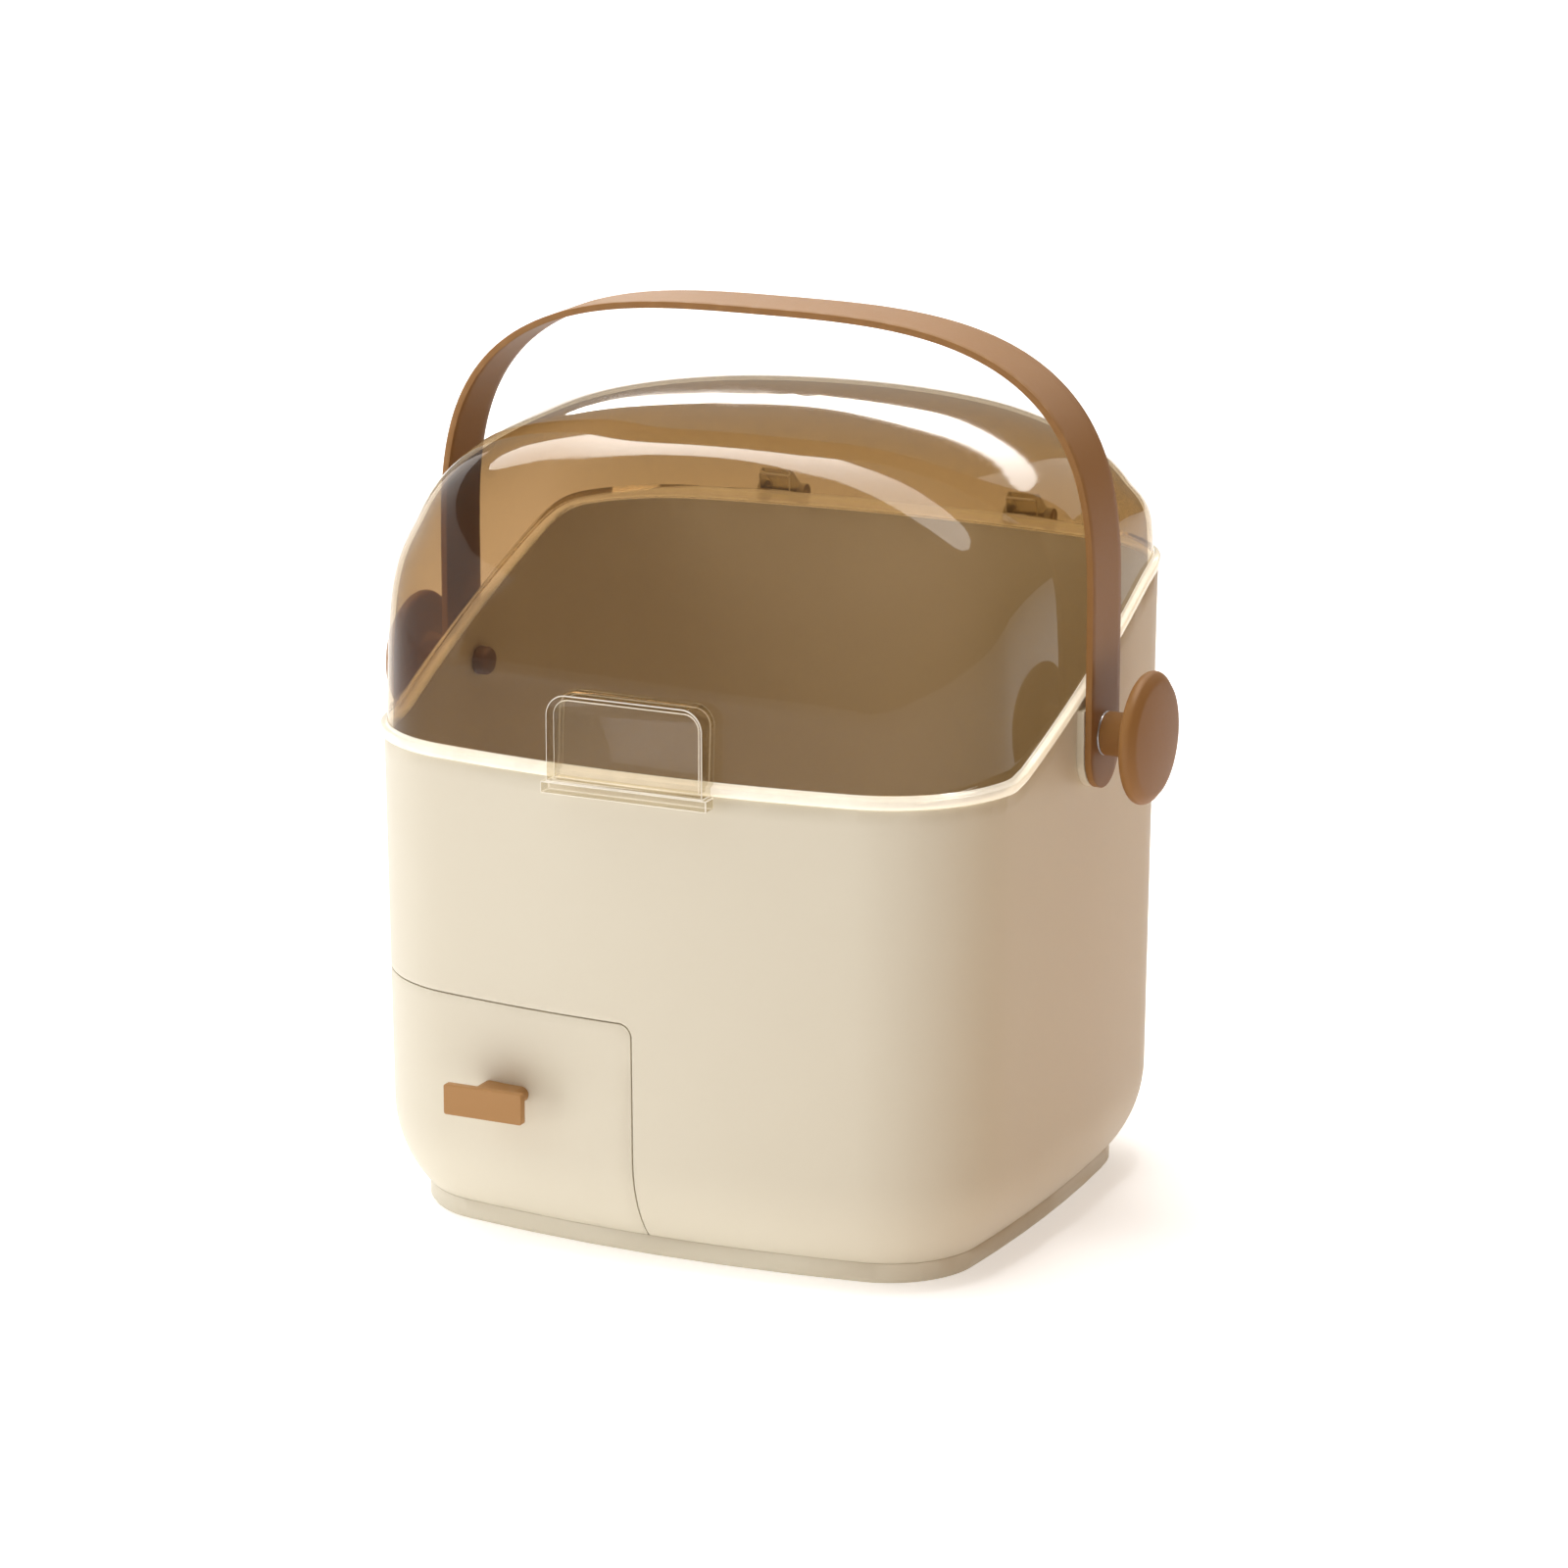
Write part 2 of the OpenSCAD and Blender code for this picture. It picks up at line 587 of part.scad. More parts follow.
// Disc knob with its stub and the spindle through the wall
knob_t = 7.5;
wall_in = body_w / 2 - wall + lean_at(pivot_z) - 0.12;
module knob_right() {
  r = knob_d / 2;
  x0 = strap_x + strap_t + 0.05 + washer_t;
  x1 = knob_x - knob_t;
  color(brown)
  translate([0, pivot_y, pivot_z]) rotate([0, 90, 0]) rotate_extrude($fn = 72)
    polygon(concat([[0, wall_in - 4.6], [pivot_r, wall_in - 4.6], [pivot_r, x0], [8.1, x0],
      [8.3, x1 - 1.5], [9.6, x1]],
      [[r - 2.4, x1]], [for (a = [-60 : 30 : 60]) [r - 2.4 + 2.4 * cos(a), x1 + 2.6 + 2.4 * sin(a)]],
      [[r - 2.6, x1 + 5.2], [r * 0.6, knob_x - 0.7], [r * 0.3, knob_x - 0.15], [0, knob_x]]));
}
module knob_left() { mirror([1, 0, 0]) knob_right(); }

// Cap nut inside the wall
module pivot_nut_right() {
  color(brown)
  translate([0, pivot_y, pivot_z]) rotate([0, 90, 0]) rotate_extrude()
    polygon([[pivot_r, wall_in], [5.4, wall_in], [5.4, wall_in - 4], [4.6, wall_in - 5.4],
      [0, wall_in - 6.6], [0, wall_in - 4.6], [pivot_r, wall_in - 4.6]]);
}
module pivot_nut_left() { mirror([1, 0, 0]) pivot_nut_right(); }

outer_body();
base_plinth();
base_screws();
inner_shelf();
runner_left();
runner_right();
drawer_front();
drawer_tray();
tray_screws();
drawer_pull();
pull_screws();
lid_shell();
lid_grip();
lid_knuckles();
hinge_pin_left();
hinge_pin_right();
handle_strap();
knob_left();
knob_right();
pivot_pad_left();
pivot_pad_right();
washer_left();
washer_right();
pivot_nut_left();
pivot_nut_right();
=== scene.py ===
# %% [markdown]
# # A dustproof vanity case
# A tapered cream box with a clear amber lid, a corner drawer and a swinging handle.
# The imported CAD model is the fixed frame. Every piece here stands for CAD pieces of the same
# size, with finer surfaces, eased edges and real finishes.

# %% Load the frame
import math

import bmesh
import bpy
import numpy as np
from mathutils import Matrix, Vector
from mathutils.bvhtree import BVHTree
from mathutils.interpolate import poly_3d_calc


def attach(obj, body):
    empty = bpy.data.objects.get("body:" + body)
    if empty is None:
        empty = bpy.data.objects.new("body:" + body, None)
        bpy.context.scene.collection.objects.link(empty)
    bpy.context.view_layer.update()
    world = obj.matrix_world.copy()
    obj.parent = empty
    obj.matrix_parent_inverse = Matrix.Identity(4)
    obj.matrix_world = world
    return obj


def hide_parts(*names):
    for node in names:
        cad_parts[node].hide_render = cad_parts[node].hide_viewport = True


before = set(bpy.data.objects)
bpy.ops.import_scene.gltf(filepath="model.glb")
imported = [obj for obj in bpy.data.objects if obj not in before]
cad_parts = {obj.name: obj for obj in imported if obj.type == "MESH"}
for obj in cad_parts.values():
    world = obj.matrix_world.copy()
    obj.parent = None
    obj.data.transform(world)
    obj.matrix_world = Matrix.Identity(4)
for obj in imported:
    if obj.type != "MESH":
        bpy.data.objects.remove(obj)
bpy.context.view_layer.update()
MM = 0.001

# %% [markdown]
# ## The camera
# The photograph was taken with a long lens from the right and a little above. The place, turn and
# focal length come from matching the case's rims, seams and knobs, so that the perspective agrees.

# %% Camera
cam_yaw, cam_pitch = 0.4450, 0.2627
forward = Vector((-math.sin(cam_yaw) * math.cos(cam_pitch), math.cos(cam_yaw) * math.cos(cam_pitch),
                  -math.sin(cam_pitch)))
camera_data = bpy.data.cameras.new("camera")
camera_data.sensor_width = 36
camera_data.lens = 131.5
camera_data.clip_end = 20
camera = bpy.data.objects.new("camera", camera_data)
camera.location = Vector((895.06, -1867.19, 711.33)) * MM
camera.rotation_euler = forward.to_track_quat("-Z", "Y").to_euler()
bpy.context.collection.objects.link(camera)
bpy.context.scene.camera = camera

# %% [markdown]
# ## Shader maths
# One small class wraps a node socket, so that a pattern can be written as plain sums and products.
# Each expression adds its Math nodes to the material.


# %% Shader helper
class Wire:
    def __init__(self, tree, socket):
        self.tree, self.socket = tree, socket

    def math(self, op, other=None, swap=False):
        node = self.tree.nodes.new("ShaderNodeMath")
        node.operation = op
        values = [self, other] if not swap else [other, self]
        for slot, value in zip(node.inputs, values):
            if isinstance(value, Wire):
                self.tree.links.new(value.socket, slot)
            elif value is not None:
                slot.default_value = value
        return Wire(self.tree, node.outputs[0])

    def __add__(self, o): return self.math("ADD", o)
    def __radd__(self, o): return self.math("ADD", o)
    def __sub__(self, o): return self.math("SUBTRACT", o)
    def __rsub__(self, o): return self.math("SUBTRACT", o, True)
    def __mul__(self, o): return self.math("MULTIPLY", o)
    def __rmul__(self, o): return self.math("MULTIPLY", o)
    def power(self, o): return self.math("POWER", o)


def plug(tree, node, settings, values):
    """Makes the settings, then gives each socket, by name or number, a value, a link or several links."""
    for key, value in (settings or {}).items():
        setattr(node, key, value)
    for key, value in values.items():
        slot = node.inputs[int(key[1:])] if key[1:].isdigit() else node.inputs[key.replace("_", " ")]
        for v in (reversed(value) if isinstance(value, list) else [value]):
            if isinstance(v, Wire):
                tree.links.new(v.socket, slot)
            else:
                slot.default_value = v


class Finish:
    """A new material and its node tree, with one method that adds any node."""

    def __init__(self, name):
        self.material = bpy.data.materials.new(name)
        self.material.use_nodes = True
        self.tree = self.material.node_tree
        self.tree.nodes.clear()
        self.out = self.tree.nodes.new("ShaderNodeOutputMaterial")

    def add(self, kind, out=0, settings=None, **values):
        node = self.tree.nodes.new("ShaderNode" + kind)
        plug(self.tree, node, settings, values)
        return Wire(self.tree, node.outputs[out])

    def place(self):
        return self.add("TexCoord", out=3)

    def noise(self, scale, detail=2.0, place=None, out=0):
        return self.add("TexNoise", out=out, Vector=place or self.place(), Scale=scale, Detail=detail)

    def blend(self, share, a, b):
        return self.add("Mix", out=2, settings={"data_type": "RGBA"}, i0=share, i6=a, i7=b)

    def bump(self, height, strength, distance):
        return self.add("Bump", Height=height, Strength=strength, Distance=distance)

    def surface(self, wire):
        self.tree.links.new(wire.socket, self.out.inputs["Surface"])
        return self.material


# %% [markdown]
# ## The moulded plastics
# The body, drawer and spacers are one satin cream plastic. A real moulding is never a flat colour:
# its tone drifts a little, its gloss breaks up in a fine grain, and light dust settles in it.
# So a broad noise moves the colour, a fine noise moves the roughness, and both feed a faint bump.


# %% Moulded plastics
def moulded(name, colour, deeper, rough, bump=0.05, shine=0.5):
    f = Finish(name)
    grain = 900
    where = f.place()
    drift = f.noise(9, 3, where)
    fine = f.noise(grain, 2, where)
    speck = f.noise(grain * 0.22, 4, where)
    tone = f.blend(drift * 0.9, colour, deeper)
    shade = f.add("BsdfPrincipled", Base_Color=tone, Roughness=rough + fine * 0.08 + speck * 0.05,
                  Normal=f.bump(fine + speck * 0.6, bump, 0.0002))
    node = shade.socket.node
    node.inputs["IOR"].default_value = 1.48
    node.inputs["Specular IOR Level"].default_value = shine
    return f.surface(shade)


CREAM = moulded("cream_plastic", (0.72, 0.672, 0.55, 1), (0.695, 0.64, 0.515, 1), 0.34)
CREAM_INSIDE = moulded("cream_plastic_inside", (0.74, 0.655, 0.52, 1), (0.71, 0.62, 0.48, 1), 0.42)
# The strap, knobs and pull are one brown plastic in two copies: the strap and knobs get a darker copy,
# painted shade for the case's shaded right side, and the pull a lighter copy for the lit front.
BROWN_SHADED = moulded("brown_plastic", (0.34, 0.168, 0.052, 1), (0.305, 0.150, 0.046, 1), 0.42,
                bump=0.03, shine=0.36)
BROWN_LIT_PULL = moulded("brown_plastic_pull", (0.42, 0.225, 0.085, 1), (0.385, 0.20, 0.072, 1), 0.42,
                     bump=0.07, shine=0.28)
BROWN_DARK = moulded("brown_plastic_dark", (0.20, 0.095, 0.045, 1), (0.17, 0.08, 0.04, 1), 0.4)

# %% [markdown]
# ## Clear amber plastic
# The lid is thin, so it hardly bends what is behind it: it tints the light that passes and mirrors
# the lamps. A see-through shader with the tint is mixed with a sharp gloss that grows where the
# surface turns away. Light that enters to reach the inside is tinted less, because in a real lid
# most of it comes in straight through the thin wall. The tint deepens where the wall is seen
# aslant, as the way through it is longer, and it is deepened towards the lid's back as painted
# shade. The inner skin gets no gloss of its own, so that each lamp shows once. Cut edges of clear
# plastic are milky, with a faint painted glow: they emit light, though they are no lamp.



# %% Clear plastics
def clear(name, tint, rough, haze=0.0, haze_colour=(0.8, 0.7, 0.5, 1), mirror=0.03, glow=0.0):
    f = Finish(name)
    smudge = f.noise(60, 4)
    turned_away = f.add("LayerWeight", out=1, Blend=0.5)
    deep = tuple(c * k for c, k in zip(tint, (0.76, 0.73, 0.62))) + (1,)
    light_ray = f.add("LightPath", out=1).math("MAXIMUM", f.add("LightPath", out=2))
    # Painted shade: the tint is deepened towards the lid's back, by the Y coordinate.
    depth = f.add("SeparateXYZ", out=1, Vector=f.place())
    painted_rear_shade = f.add("MapRange", Value=depth, From_Min=-0.02, From_Max=0.10)
    wall, thick_and_painted_shade, open_way = (f.add("BsdfTransparent", Color=c) for c in (tint, deep, (0.95, 0.93, 0.90, 1)))
    seen = f.add("MixShader", i0=turned_away.math("MAXIMUM", painted_rear_shade * 0.85), i1=wall, i2=thick_and_painted_shade)
    through = f.add("MixShader", i0=light_ray, i1=seen, i2=open_way)
    if haze:
        # With glow set, the milky finish also emits: a painted glow, light from a part that is no lamp.
        milk = f.add("BsdfPrincipled", Base_Color=haze_colour, Roughness=0.4,
                     Emission_Color=haze_colour, Emission_Strength=glow)
        through = f.add("MixShader", i0=smudge * (haze * 0.5) + haze * 0.75, i1=through, i2=milk)
    if not mirror:
        return f.surface(through)
    wave = f.bump(f.noise(9, 1), 0.02, 0.002)
    gloss = f.add("BsdfAnisotropic", Color=(1, 1, 1, 1), Roughness=rough + smudge * 0.03, Normal=wave)
    return f.surface(f.add("MixShader", i0=turned_away.power(5) * 0.9 + mirror, i1=through, i2=gloss))


AMBER = clear("amber_lid", (0.84, 0.75, 0.64, 1), 0.03, 0.02, (0.60, 0.42, 0.25, 1), 0.02)
AMBER_INSIDE = clear("amber_lid_inside", (0.84, 0.75, 0.64, 1), 0.03, mirror=0)
# The lid's flange edges: milky, with a painted glow.
AMBER_EDGE = clear("amber_lid_edge", (0.93, 0.87, 0.76, 1), 0.12, 0.70, (0.93, 0.88, 0.76, 1), glow=0.45)
CLEAR_GRIP = clear("clear_grip", (0.965, 0.94, 0.89, 1), 0.04, 0.015, (0.85, 0.75, 0.6, 1), 0.03)
# The grip's and knuckles' eased edges: milky, with a painted glow.
BRIGHT_EDGE = clear("clear_bright_edge", (0.95, 0.92, 0.85, 1), 0.10, 0.65, (0.95, 0.91, 0.82, 1), glow=0.25)

# %% [markdown]
# ## Plated steel
# The screws and washers are zinc plated: metal, a little cloudy.


# %% Plated steel
def plated(name):
    f = Finish(name)
    where = f.place()
    cloud = f.noise(400, 3, where)
    shade = f.add("BsdfPrincipled", Base_Color=f.blend(cloud, (0.62, 0.62, 0.63, 1), (0.5, 0.5, 0.52, 1)),
                  Metallic=1.0, Roughness=0.28 + cloud * 0.16)
    return f.surface(shade)


STEEL = plated("zinc_plate")
print("materials", len(bpy.data.materials))


# %% [markdown]
# ## Making and handing over a piece
# A piece is plain mesh data at the origin. Modifiers finish it, then their result becomes the mesh
# itself. Each piece rides on its body.

# %% Piece helpers
def new_piece(name, points, faces, *materials):
    mesh = bpy.data.meshes.new(name)
    mesh.from_pydata([tuple(v) for v in np.asarray(points, float) * MM], [], faces)
    for m in materials:
        mesh.materials.append(m)
    piece = bpy.data.objects.new(name, mesh)
    bpy.context.collection.objects.link(piece)
    return piece


def settle(piece, sharp=None):
    """Turns the modifiers' result into the piece's own mesh."""
    bpy.context.view_layer.update()
    graph = bpy.context.evaluated_depsgraph_get()
    done = bpy.data.meshes.new_from_object(piece.evaluated_get(graph), depsgraph=graph)
    piece.modifiers.clear()
    old, piece.data = piece.data, done
    done.name = piece.name
    bpy.data.meshes.remove(old)
    done.shade_smooth()
    if sharp:
        done.set_sharp_from_angle(angle=math.radians(sharp))
    return piece


def ease(piece, width, angle=32, segments=2, slot=-1):
    m = piece.modifiers.new("ease", "BEVEL")
    m.material = slot
    m.width, m.segments, m.limit_method = width * MM, segments, "ANGLE"
    m.angle_limit = math.radians(angle)
    m.harden_normals = True
    return piece


def hand_over(piece, body, nodes):
    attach(piece, body)
    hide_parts(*nodes)
    print(piece.name, len(piece.data.polygons), "faces")
    return piece


def eased_copy(name, node, body, material, width, slot, edge=None):
    """A CAD node's own solid, merged and given eased edges, which may have a finish of their own."""
    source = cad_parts[node].data
    points = [tuple(v.co / MM) for v in source.vertices]
    faces = [tuple(p.vertices) for p in source.polygons]
    piece = new_piece(name, points, faces, *([material, edge] if edge else [material]))
    bm = bmesh.new()
    bm.from_mesh(piece.data)
    bmesh.ops.remove_doubles(bm, verts=bm.verts, dist=0.004 * MM)
    bmesh.ops.dissolve_limit(bm, angle_limit=math.radians(0.6), verts=bm.verts, edges=bm.edges)
    bm.to_mesh(piece.data)
    bm.free()
    piece.data.shade_smooth()
    ease(piece, width, slot=1 if edge else -1)
    settle(piece, sharp=32)
    return hand_over(piece, body, [node])


# %% [markdown]
# ## The shape of the body
# The plan is four corner arcs joined by four long bowed arcs. The wall leans in towards its foot,
# and its lowest part turns in on one large radius. The rim is level at the front and at the back,
# with a straight slope between. Everything follows from these numbers, so they come first.

# %% Body sizes, in millimetres
body_w, body_d, front_h, back_h = 256.0, 230.6, 181.0, 235.0
corner_r, front_bow, side_bow, wall = 50.4, 6.1, 2.5, 2.8
lean, belly_h, belly_in, plinth_h = 1.06, 33.0, 12.5, 8.0
slope_y0, slope_y1, rim_f, rim_b = -61.0, 66.0, 6.0, 14.0
cx = body_w / 2 - corner_r - side_bow
cy = body_d / 2 - corner_r - front_bow
front_r = (cx * cx + front_bow ** 2) / (2 * front_bow)
side_r = (cy * cy + side_bow ** 2) / (2 * side_bow)
front_a, side_a = math.asin(cx / front_r), math.asin(cy / side_r)
front_c = body_d / 2 - corner_r - front_r
side_c = body_w / 2 - corner_r - side_r
belly_r = (belly_h ** 2 + belly_in ** 2) / (2 * belly_in)
belly_top = plinth_h + belly_h


def out_at(z):
    z = np.asarray(z, float)
    below = np.sqrt(np.maximum(belly_r ** 2 - (belly_top - z) ** 2, 0)) - belly_r
    turn = np.where(z >= belly_top, 0.0, below)
    return (z - front_h) * lean / 100 + turn


rim_m = (back_h - front_h) / (slope_y1 - slope_y0)


def rim_z(y):
    y = np.asarray(y, float)
    foot_bend = front_h + rim_m * (y - slope_y0 + rim_f) ** 2 / (4 * rim_f)
    top_bend = back_h - rim_m * (slope_y1 + rim_b - y) ** 2 / (4 * rim_b)
    return np.select(
        [y < slope_y0 - rim_f, y < slope_y0 + rim_f, y < slope_y1 - rim_b, y < slope_y1 + rim_b],
        [front_h, foot_bend, front_h + rim_m * (y - slope_y0), top_bend], back_h)


def plan(nc=24, ns=18):
    """Rows of arc centre x, y, radius and normal angle, anticlockwise from the right."""
    half = math.pi / 2
    arcs = [((side_c, 0), side_r, -side_a, side_a, ns), ((cx, cy), 0, side_a, half - front_a, nc),
            ((0, front_c), front_r, half - front_a, half + front_a, ns),
            ((-cx, cy), 0, half + front_a, math.pi - side_a, nc),
            ((-side_c, 0), side_r, math.pi - side_a, math.pi + side_a, ns),
            ((-cx, -cy), 0, math.pi + side_a, 3 * half - front_a, nc),
            ((0, -front_c), front_r, 3 * half - front_a, 3 * half + front_a, ns),
            ((cx, -cy), 0, 3 * half + front_a, 2 * math.pi - side_a, nc)]
    return np.array([(c[0], c[1], r + corner_r, a0 + (a1 - a0) * i / n)
                     for c, r, a0, a1, n in arcs for i in range(n)])


PLAN = plan()
COS, SIN = np.cos(PLAN[:, 3]), np.sin(PLAN[:, 3])
print("plan points", len(PLAN))


def ring(s, z):
    """The plan grown outwards by s, at height z. Both may vary round the ring."""
    r = PLAN[:, 2] + s
    return np.stack([PLAN[:, 0] + r * COS, PLAN[:, 1] + r * SIN, np.broadcast_to(z, r.shape)], 1)


def spacing():
    """The mean gap between neighbouring plan points, which a smoothing width is measured in."""
    xy = ring(0, 0)[:, :2]
    return np.hypot(*(np.roll(xy, -1, 0) - xy).T)


def ring_faces(rings, n):
    return [(j * n + i, j * n + (i + 1) % n, (j + 1) * n + (i + 1) % n, (j + 1) * n + i)
            for j in range(rings - 1) for i in range(n)]


# %% [markdown]
# ## Body wall and drawer front
# Both are cut from one outer skin, so the drawer's front carries on the body's curve without a
# step. The skin is sliced along the seam, with half the seam's width taken off each side, then
# Solidify gives the wall its thickness and a bevel eases the edges, which makes the seam catch light.

# %% Outer skin and its seam
drawer_top, drawer_right, wrap_y, drawer_corner, seam = 92.0, -2.0, -57.0, 5.0, 0.6


def outer_skin():
    low = [plinth_h + belly_h * t for t in np.linspace(0, 1, 15)[:-1]]
    rings = [ring(out_at(z), z) for z in low]
    top = ring(0, front_h)
    for t in np.linspace(0, 1, 22):
        z = belly_top + t * (rim_z(top[:, 1]) - belly_top)
        rings.append(ring(out_at(z), z))
    return np.concatenate(rings), ring_faces(len(rings), len(PLAN))


def slice_skin(piece, g, keep_drawer):
    """Cuts the skin along the drawer's outline, moved outwards by g, and keeps one side."""
    bm = bmesh.new()
    bm.from_mesh(piece.data)
    x1, z1, y1, r = drawer_right + g, drawer_top + g, wrap_y + g, drawer_corner + g

    def cut(point, normal, chosen):
        faces = [f for f in bm.faces if chosen(f.calc_center_median() / MM, f)]
        geom = set(faces)
        for f in faces:
            geom.update(f.edges)
            geom.update(f.verts)
        bmesh.ops.bisect_plane(bm, geom=list(geom), dist=1e-7, plane_co=Vector(point) * MM,
                               plane_no=Vector(normal))

    cut((x1, 0, 0), (1, 0, 0), lambda c, f: c.y < -80 and c.z < z1 + 12 and abs(c.x - x1) < 20)
    cut((0, 0, z1), (0, 0, 1), lambda c, f: c.y < y1 + 12 and c.x < x1 + 12 and abs(c.z - z1) < 14)
    cut((0, y1, 0), (0, 1, 0), lambda c, f: c.x < -90 and c.z < z1 + 12 and abs(c.y - y1) < 14)
    steps = 8
    for i in range(steps):
        a0, a1 = (math.pi / 2 * (i + k) / steps for k in (0, 1))
        mid = (a0 + a1) / 2
        p = (x1 - r + r * math.cos(a0), 0, z1 - r + r * math.sin(a0))
        cut(p, (math.cos(mid), 0, math.sin(mid)),
            lambda c, f: c.y < -80 and x1 - r - 1 < c.x < x1 and z1 - r - 1 < c.z < z1)

    def in_drawer(c):
        if c.x > x1 or c.z > z1 or c.y > y1:
            return False
        dx, dz = c.x - (x1 - r), c.z - (z1 - r)
        return not (dx > 0 and dz > 0 and math.hypot(dx, dz) > r)

    drop = [f for f in bm.faces if in_drawer(f.calc_center_median() / MM) != keep_drawer]
    bmesh.ops.delete(bm, geom=drop, context="FACES")
    bmesh.ops.remove_doubles(bm, verts=bm.verts, dist=0.02 * MM)
    bm.to_mesh(piece.data)
    bm.free()
    piece.data.shade_smooth()


def thicken(piece, thickness):
    m = piece.modifiers.new("wall", "SOLIDIFY")
    m.thickness, m.offset, m.use_even_offset = thickness * MM, -1, True


skin_points, skin_faces = outer_skin()
print("skin rows", len(skin_points) // len(PLAN))


# %% [markdown]
# ## Joining parts into one piece
# The body is one moulding, but its floor and hinge ears are simple forms. Each is made alone and
# joined to the wall as one mesh; the ears are eased and sunk a little, so that no gap shows.

# %% Simple forms
def prism(outline, z0, z1):
    """A closed prism over an anticlockwise outline in the XY plane."""
    n = len(outline)
    points = [(x, y, z) for z in (z0, z1) for x, y in outline]
    faces = [tuple(range(n - 1, -1, -1)), tuple(range(n, 2 * n))]
    faces += [(i, (i + 1) % n, n + (i + 1) % n, n + i) for i in range(n)]
    return points, faces


def turned(form, axes):
    """Sends a form's x, y, z to the named axes: 'yzx' puts its x along Y, its y along Z, its z along X."""
    points, faces = form
    order = ["xyz".index(a) for a in axes]
    out = []
    for p in points:
        q = [0, 0, 0]
        for value, target in zip(p, order):
            q[target] = value
        out.append(q)
    return out, faces


def spun(profile, steps=96):
    """Spins (radius, height) pairs about Z, from the axis back to the axis, heights falling outside."""
    points, faces = [], []
    n = len(profile)
    for k in range(steps):
        a = 2 * math.pi * k / steps
        points += [(r * math.cos(a), r * math.sin(a), h) for r, h in profile]
    for k in range(steps):
        for i in range(n - 1):
            j = (k + 1) % steps
            faces.append((k * n + i, j * n + i, j * n + i + 1, k * n + i + 1))
    return points, faces


def form_piece(name, form, material, width):
    piece = new_piece(name, form[0], form[1], material)
    bm = bmesh.new()
    bm.from_mesh(piece.data)
    bmesh.ops.remove_doubles(bm, verts=bm.verts, dist=0.002 * MM)
    bmesh.ops.recalc_face_normals(bm, faces=bm.faces)
    bm.to_mesh(piece.data)
    bm.free()
    piece.data.shade_smooth()
    if width:
        ease(piece, width)
    return settle(piece, sharp=None if width else 40)


def join(first, *rest):
    """Adds the other pieces' meshes to the first and removes them."""
    bm = bmesh.new()
    bm.from_mesh(first.data)
    for o in rest:
        bm.from_mesh(o.data)
        bpy.data.objects.remove(o)
    bm.to_mesh(first.data)
    bm.free()
    first.data.shade_smooth()
    first.data.set_sharp_from_angle(angle=math.radians(35))
    return first


# %% [markdown]
# ## Body
# The wall is the skin without the drawer's part. Its floor lies just inside the foot, and two pairs
# of ears stand on the rear rim to hold the hinge bars.

# %% Body
floor_t, floor_room = 2.6, 0.2
case_wall = new_piece("case_wall", skin_points, skin_faces, CREAM)
slice_skin(case_wall, seam / 2, False)
thicken(case_wall, wall)
ease(case_wall, 0.45, segments=3)
settle(case_wall, sharp=35)

foot_s = float(out_at(plinth_h))
floor_outline = [tuple(p[:2]) for p in ring(foot_s - wall - floor_room, 0)]
floor_piece = form_piece("case_floor", prism(floor_outline, plinth_h, plinth_h + floor_t), CREAM, 0)

hinge_x, hinge_y, hinge_z, hinge_r = 52.5, body_d / 2 + 4.3, back_h + 3.5, 3.8


def ear_outline():
    """A hinge ear seen from the side, as (y, z): a foot on the wall and a round eye."""
    eye = [(hinge_y + hinge_r * math.cos(a), hinge_z + hinge_r * math.sin(a))
           for a in np.linspace(-0.25, math.pi, 22)]
    foot = [(hinge_y - hinge_r, back_h - 0.4), (112.4, back_h - 0.6), (112.4, hinge_z - 18)]
    return eye + foot


ears = []
for m in (-1, 1):
    for e in (-8.5, 8.5):
        x = m * hinge_x + e
        ears.append(form_piece("ear", turned(prism(ear_outline(), x - 1.5, x + 1.5), "yzx"), CREAM, 0.35))
case_wall = join(case_wall, floor_piece, *ears)
hand_over(case_wall, "case", ["outer_body"])

# %% [markdown]
# ## Drawer front
# The other side of the same cut, with the blocks that its tray is screwed to.

# %% Drawer front
drawer_face = new_piece("drawer_face", skin_points, skin_faces, CREAM)
slice_skin(drawer_face, -seam / 2, True)
thicken(drawer_face, wall)
ease(drawer_face, 0.45, segments=3)
settle(drawer_face, sharp=35)
tray_f = -94.5
blocks = []
for bx in (-68, -18):
    for bz in (34, 74):
        front = -(112.4 - 0.9 - (belly_top - bz) ** 2 / 100 * (bz < belly_top)) + (5 if bx < -60 else 0)
        outline = [(bx - 5, front), (bx + 5, front), (bx + 5, tray_f), (bx - 5, tray_f)]
        blocks.append(form_piece("block", prism(outline, bz - 5, bz + 5), CREAM, 0.4))
drawer_face = join(drawer_face, *blocks)
hand_over(drawer_face, "drawer", ["drawer_front"])

# %% [markdown]
# ## Lid
# A dome over the sloping rim. Each ring is the plan drawn in towards a point behind the middle,
# while its height climbs along a squarish curve, rounder at the front than at the back. The outer
# and inner skins and the flange are one closed wall, as the real moulding is.

# %% Lid
lid_gap, flange_out, flange_h, lid_in, lid_t = 0.4, 1.4, 3.6, 1.1, 2.2
dome_h, dome_yc = 300.0, body_d / 12


